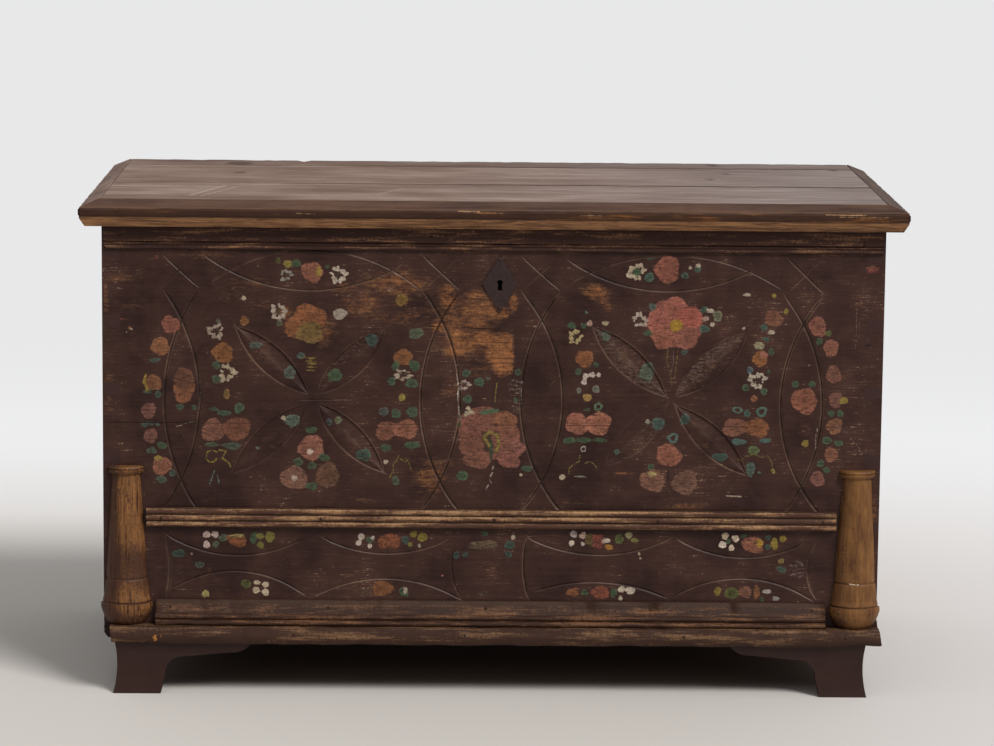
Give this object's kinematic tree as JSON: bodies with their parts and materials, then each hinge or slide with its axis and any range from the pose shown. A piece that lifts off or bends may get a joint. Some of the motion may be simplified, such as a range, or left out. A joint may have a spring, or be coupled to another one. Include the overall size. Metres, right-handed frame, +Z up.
{
  "type": "marriage chest",
  "caption": "Low plank chest with a moulded lid on strap hinges, incised and flower-painted front, half columns, bracket feet, lidded till and lock.",
  "frame": {"origin": "on the floor, at the middle of the bounding box in X and Y", "axes": "+X to the viewer's right along the chest, +Y from its front to its back, +Z up"},
  "size_m": [1.256, 0.6346, 0.762],
  "materials": {
    "painted_planks": "worn dark oxblood oil paint",
    "carcase_planks": "plain oxblood paint, worn",
    "lid_boards": "weathered, scrubbed pine",
    "worn_mouldings": "paint worn to the wood",
    "half_columns": "golden wood with paint left in the hollows",
    "plinth_wood": "rough, rubbed wood",
    "painted_feet": "smooth dark maroon paint",
    "plain_pine": "planed, unpainted",
    "forged_iron": "hammered, dark"
  },
  "bodies": {
    "chest": {"back_lower_plank": "carcase_planks", "back_upper_plank": "carcase_planks", "bolt_keeper_tail": "forged_iron", "bolt_keeper_tip": "forged_iron", "escutcheon": "forged_iron", "floor_board_1": "plain_pine", "floor_board_2": "plain_pine", "floor_board_3": "plain_pine", "foot_back_left_back": "painted_feet", "foot_back_left_side": "painted_feet", "foot_back_right_back": "painted_feet", "foot_back_right_side": "painted_feet", "foot_front_left_front": "painted_feet", "foot_front_left_side": "painted_feet", "foot_front_right_front": "painted_feet", "foot_front_right_side": "painted_feet", "front_lower_plank": "painted_planks", "front_upper_plank": "painted_planks", "glue_block_back_left": "plain_pine", "glue_block_back_right": "plain_pine", "glue_block_front_left": "plain_pine", "glue_block_front_right": "plain_pine", "half_column_left": "half_columns", "half_column_right": "half_columns", "hinge_back_strap_left": "forged_iron", "hinge_back_strap_right": "forged_iron", "hinge_pin_left": "forged_iron", "hinge_pin_right": "forged_iron", "left_lower_plank": "carcase_planks", "left_upper_plank": "carcase_planks", "lock_case": "forged_iron", "plinth_front": "plinth_wood", "plinth_left": "plinth_wood", "plinth_right": "plinth_wood", "reeded_rail": "worn_mouldings", "right_lower_plank": "carcase_planks", "right_upper_plank": "carcase_planks", "skirt_moulding": "worn_mouldings", "till_bottom": "plain_pine", "till_side": "plain_pine", "top_fascia": "worn_mouldings"},
    "lid": {"hinge_lid_strap_left": "forged_iron", "hinge_lid_strap_right": "forged_iron", "lid_back_plank": "lid_boards", "lid_batten_left": "plain_pine", "lid_batten_right": "plain_pine", "lid_front_plank": "lid_boards", "lid_middle_plank": "lid_boards", "lid_moulding_front": "worn_mouldings", "lid_moulding_left": "worn_mouldings", "lid_moulding_right": "worn_mouldings", "lid_staple": "forged_iron"},
    "bolt": {"lock_bolt": "forged_iron"},
    "till_cover": {"till_lid": "plain_pine"}
  },
  "joints": [
    {"name": "lid_hinge", "type": "hinge", "parent": "chest", "child": "lid", "pos_m": [0, 0.31075, 0.733], "axis": [-1, 0, 0], "range_deg": [0, 100]},
    {"name": "till_lid_hinge", "type": "hinge", "parent": "chest", "child": "till_cover", "pos_m": [-0.56, 0, 0.594], "axis": [0, -1, 0], "range_deg": [0, 90]},
    {"name": "bolt_slide", "type": "slide", "parent": "chest", "child": "bolt", "axis": [1, 0, 0], "range_m": [0, 0.014]}
  ]
}
